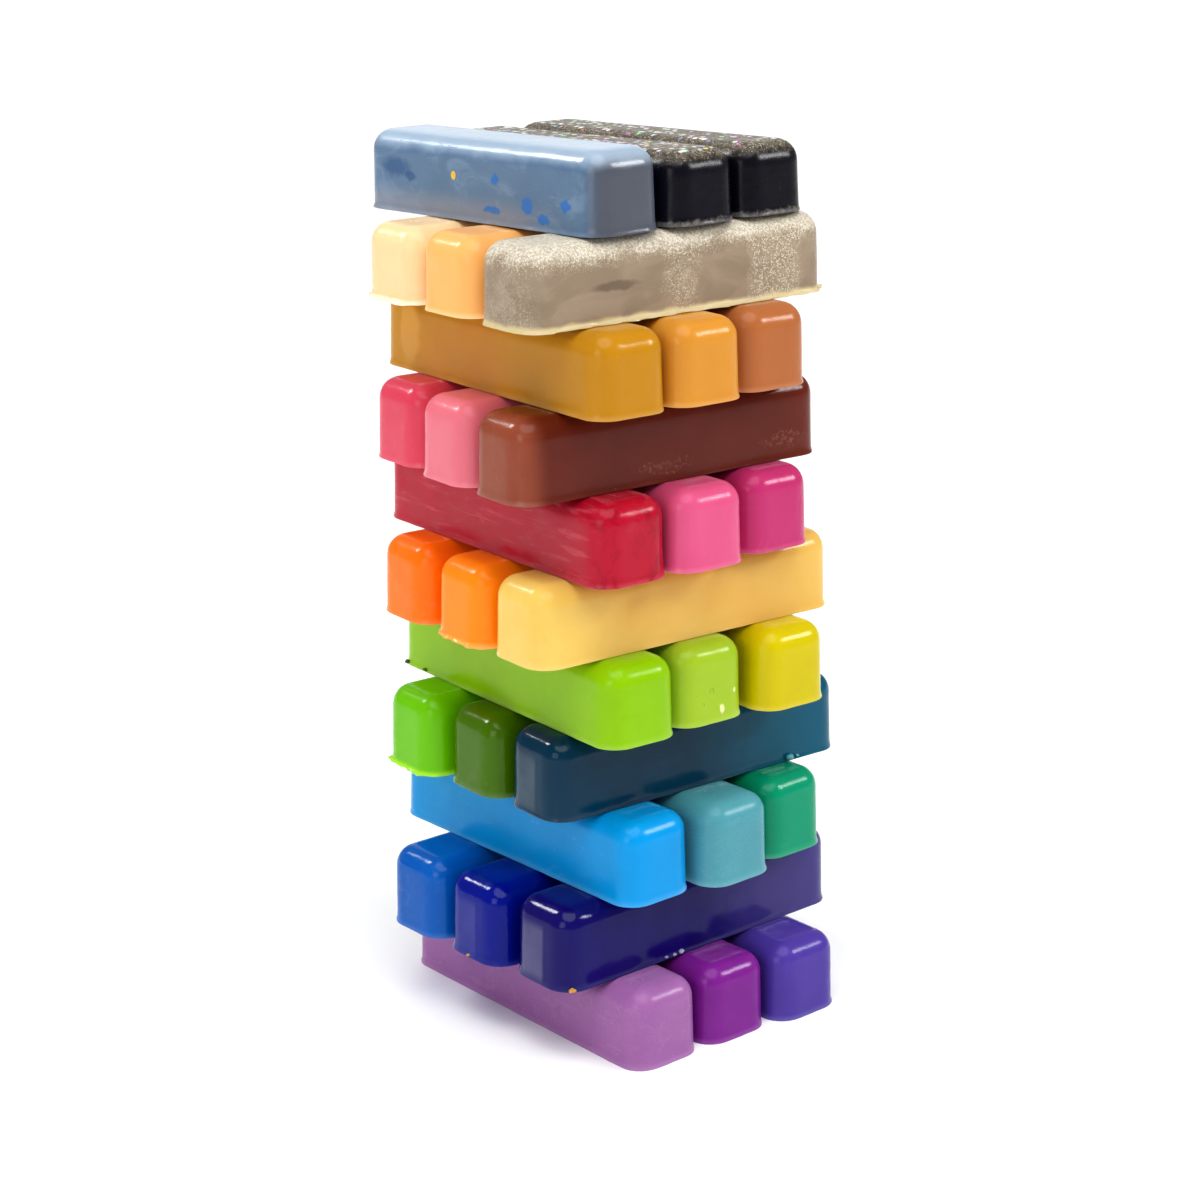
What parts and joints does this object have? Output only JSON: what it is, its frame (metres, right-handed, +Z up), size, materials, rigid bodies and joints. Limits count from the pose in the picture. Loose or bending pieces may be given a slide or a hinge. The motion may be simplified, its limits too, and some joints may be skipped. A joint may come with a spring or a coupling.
{
  "type": "tumbling tower",
  "caption": "Stacking tower game of coloured cast wax blocks in crossed layers. Each block slides out lengthwise and the top ones lift off.",
  "frame": {"origin": "centre of the foot of the middle block of the bottom layer, on the floor", "axes": "+Z up; the bottom blocks lie along Y with their near ends towards -Y; the second layer's near ends point towards -X"},
  "size_m": [0.083, 0.0924, 0.1805],
  "materials": {
    "lavender_wax": "satin cast wax",
    "purple_wax": "satin cast wax",
    "violet_wax": "satin cast wax",
    "blue_wax": "satin cast wax",
    "ultramarine_wax": "satin cast wax",
    "indigo_wax": "satin cast wax",
    "sky_wax": "satin cast wax",
    "powder_wax": "satin cast wax",
    "emerald_wax": "satin cast wax",
    "bright_green_wax": "satin cast wax",
    "olive_wax": "satin cast wax",
    "teal_wax": "satin cast wax",
    "lime_wax": "satin cast wax",
    "leaf_wax": "satin cast wax",
    "yellow_wax": "satin cast wax",
    "deep_orange_wax": "satin cast wax",
    "orange_wax": "satin cast wax",
    "butter_wax": "satin cast wax",
    "crimson_wax": "satin cast wax",
    "pink_wax": "satin cast wax",
    "magenta_wax": "satin cast wax",
    "coral_wax": "satin cast wax",
    "light_pink_wax": "satin cast wax",
    "brown_wax": "satin cast wax",
    "mustard_wax": "satin cast wax",
    "amber_wax": "satin cast wax",
    "terracotta_wax": "satin cast wax",
    "cream_wax": "satin cast wax",
    "peach_wax": "satin cast wax",
    "taupe_wax": "satin cast wax",
    "grey_blue_wax": "satin cast wax",
    "black_wax": "satin cast wax",
    "jet_wax": "satin cast wax"
  },
  "bodies": {
    "block_01_left_lavender": {"block_01_left_lavender": "lavender_wax"},
    "block_01_middle_purple": {"block_01_middle_purple": "purple_wax"},
    "block_01_right_violet": {"block_01_right_violet": "violet_wax"},
    "block_02_left_blue": {"block_02_left_blue": "blue_wax"},
    "block_02_middle_ultramarine": {"block_02_middle_ultramarine": "ultramarine_wax"},
    "block_02_right_indigo": {"block_02_right_indigo": "indigo_wax"},
    "block_03_left_sky": {"block_03_left_sky": "sky_wax"},
    "block_03_middle_powder": {"block_03_middle_powder": "powder_wax"},
    "block_03_right_emerald": {"block_03_right_emerald": "emerald_wax"},
    "block_04_left_bright_green": {"block_04_left_bright_green": "bright_green_wax"},
    "block_04_middle_olive": {"block_04_middle_olive": "olive_wax"},
    "block_04_right_teal": {"block_04_right_teal": "teal_wax"},
    "block_05_left_lime": {"block_05_left_lime": "lime_wax"},
    "block_05_middle_leaf": {"block_05_middle_leaf": "leaf_wax"},
    "block_05_right_yellow": {"block_05_right_yellow": "yellow_wax"},
    "block_06_left_deep_orange": {"block_06_left_deep_orange": "deep_orange_wax"},
    "block_06_middle_orange": {"block_06_middle_orange": "orange_wax"},
    "block_06_right_butter": {"block_06_right_butter": "butter_wax"},
    "block_07_left_crimson": {"block_07_left_crimson": "crimson_wax"},
    "block_07_middle_pink": {"block_07_middle_pink": "pink_wax"},
    "block_07_right_magenta": {"block_07_right_magenta": "magenta_wax"},
    "block_08_left_coral": {"block_08_left_coral": "coral_wax"},
    "block_08_middle_light_pink": {"block_08_middle_light_pink": "light_pink_wax"},
    "block_08_right_brown": {"block_08_right_brown": "brown_wax"},
    "block_09_left_mustard": {"block_09_left_mustard": "mustard_wax"},
    "block_09_middle_amber": {"block_09_middle_amber": "amber_wax"},
    "block_09_right_terracotta": {"block_09_right_terracotta": "terracotta_wax"},
    "block_10_left_cream": {"block_10_left_cream": "cream_wax"},
    "block_10_middle_peach": {"block_10_middle_peach": "peach_wax"},
    "block_10_right_taupe": {"block_10_right_taupe": "taupe_wax"},
    "block_11_left_grey_blue": {"block_11_left_grey_blue": "grey_blue_wax"},
    "block_11_middle_black": {"block_11_middle_black": "black_wax"},
    "block_11_right_jet": {"block_11_right_jet": "jet_wax"}
  },
  "joints": [
    {"name": "push_01_left", "type": "slide", "parent": "block_01_middle_purple", "child": "block_01_left_lavender", "axis": [0, 1, 0], "range_m": [-0.08, 0.08]},
    {"name": "push_01_right", "type": "slide", "parent": "block_01_middle_purple", "child": "block_01_right_violet", "axis": [0, 1, 0], "range_m": [-0.08, 0.08]},
    {"name": "push_02_left", "type": "slide", "parent": "block_01_middle_purple", "child": "block_02_left_blue", "axis": [1, 0, 0], "range_m": [-0.08, 0.08]},
    {"name": "push_02_middle", "type": "slide", "parent": "block_01_middle_purple", "child": "block_02_middle_ultramarine", "axis": [1, 0, 0], "range_m": [-0.08, 0.08]},
    {"name": "push_02_right", "type": "slide", "parent": "block_01_middle_purple", "child": "block_02_right_indigo", "axis": [1, 0, 0], "range_m": [-0.08, 0.08]},
    {"name": "push_03_left", "type": "slide", "parent": "block_01_middle_purple", "child": "block_03_left_sky", "axis": [-0.0087, 1, 0], "range_m": [-0.08, 0.08]},
    {"name": "push_03_middle", "type": "slide", "parent": "block_01_middle_purple", "child": "block_03_middle_powder", "axis": [-0.0087, 1, 0], "range_m": [-0.08, 0.08]},
    {"name": "push_03_right", "type": "slide", "parent": "block_01_middle_purple", "child": "block_03_right_emerald", "axis": [-0.0087, 1, 0], "range_m": [-0.08, 0.08]},
    {"name": "push_04_left", "type": "slide", "parent": "block_01_middle_purple", "child": "block_04_left_bright_green", "axis": [0.9981, -0.061, 0], "range_m": [-0.08, 0.08]},
    {"name": "push_04_middle", "type": "slide", "parent": "block_01_middle_purple", "child": "block_04_middle_olive", "axis": [0.9981, -0.061, 0], "range_m": [-0.08, 0.08]},
    {"name": "push_04_right", "type": "slide", "parent": "block_01_middle_purple", "child": "block_04_right_teal", "axis": [0.9981, -0.061, 0], "range_m": [-0.08, 0.08]},
    {"name": "push_05_left", "type": "slide", "parent": "block_01_middle_purple", "child": "block_05_left_lime", "axis": [0.061, 0.9981, 0], "range_m": [-0.08, 0.08]},
    {"name": "push_05_middle", "type": "slide", "parent": "block_01_middle_purple", "child": "block_05_middle_leaf", "axis": [0.061, 0.9981, 0], "range_m": [-0.08, 0.08]},
    {"name": "push_05_right", "type": "slide", "parent": "block_01_middle_purple", "child": "block_05_right_yellow", "axis": [0.061, 0.9981, 0], "range_m": [-0.08, 0.08]},
    {"name": "push_06_left", "type": "slide", "parent": "block_01_middle_purple", "child": "block_06_left_deep_orange", "axis": [0.9976, -0.0698, 0], "range_m": [-0.08, 0.08]},
    {"name": "push_06_middle", "type": "slide", "parent": "block_01_middle_purple", "child": "block_06_middle_orange", "axis": [0.9976, -0.0698, 0], "range_m": [-0.08, 0.08]},
    {"name": "push_06_right", "type": "slide", "parent": "block_01_middle_purple", "child": "block_06_right_butter", "axis": [0.9976, -0.0698, 0], "range_m": [-0.08, 0.08]},
    {"name": "push_07_left", "type": "slide", "parent": "block_01_middle_purple", "child": "block_07_left_crimson", "axis": [0.0523, 0.9986, 0], "range_m": [-0.08, 0.08]},
    {"name": "push_07_middle", "type": "slide", "parent": "block_01_middle_purple", "child": "block_07_middle_pink", "axis": [0.0523, 0.9986, 0], "range_m": [-0.08, 0.08]},
    {"name": "push_07_right", "type": "slide", "parent": "block_01_middle_purple", "child": "block_07_right_magenta", "axis": [0.0523, 0.9986, 0], "range_m": [-0.08, 0.08]},
    {"name": "push_08_left", "type": "slide", "parent": "block_01_middle_purple", "child": "block_08_left_coral", "axis": [0.9976, -0.0698, 0], "range_m": [-0.08, 0.08]},
    {"name": "push_08_middle", "type": "slide", "parent": "block_01_middle_purple", "child": "block_08_middle_light_pink", "axis": [0.9976, -0.0698, 0], "range_m": [-0.08, 0.08]},
    {"name": "push_08_right", "type": "slide", "parent": "block_01_middle_purple", "child": "block_08_right_brown", "axis": [0.9976, -0.0698, 0], "range_m": [-0.08, 0.08]},
    {"name": "push_09_left", "type": "slide", "parent": "block_01_middle_purple", "child": "block_09_left_mustard", "axis": [0.061, 0.9981, 0], "range_m": [-0.08, 0.08]},
    {"name": "push_09_middle", "type": "slide", "parent": "block_01_middle_purple", "child": "block_09_middle_amber", "axis": [0.061, 0.9981, 0], "range_m": [-0.08, 0.08]},
    {"name": "push_09_right", "type": "slide", "parent": "block_01_middle_purple", "child": "block_09_right_terracotta", "axis": [0.061, 0.9981, 0], "range_m": [-0.08, 0.08]},
    {"name": "push_10_left", "type": "slide", "parent": "block_01_middle_purple", "child": "block_10_left_cream", "axis": [0.999, -0.0436, 0], "range_m": [-0.08, 0.08]},
    {"name": "push_10_middle", "type": "slide", "parent": "block_01_middle_purple", "child": "block_10_middle_peach", "axis": [0.999, -0.0436, 0], "range_m": [-0.08, 0.08]},
    {"name": "push_10_right", "type": "slide", "parent": "block_01_middle_purple", "child": "block_10_right_taupe", "axis": [0.999, -0.0436, 0], "range_m": [-0.08, 0.08]},
    {"name": "lift_11_left", "type": "slide", "parent": "block_01_middle_purple", "child": "block_11_left_grey_blue", "axis": [0, 0, 1], "range_m": [0, 0.06]},
    {"name": "lift_11_middle", "type": "slide", "parent": "block_01_middle_purple", "child": "block_11_middle_black", "axis": [0, 0, 1], "range_m": [0, 0.06]},
    {"name": "lift_11_right", "type": "slide", "parent": "block_01_middle_purple", "child": "block_11_right_jet", "axis": [0, 0, 1], "range_m": [0, 0.06]}
  ]
}
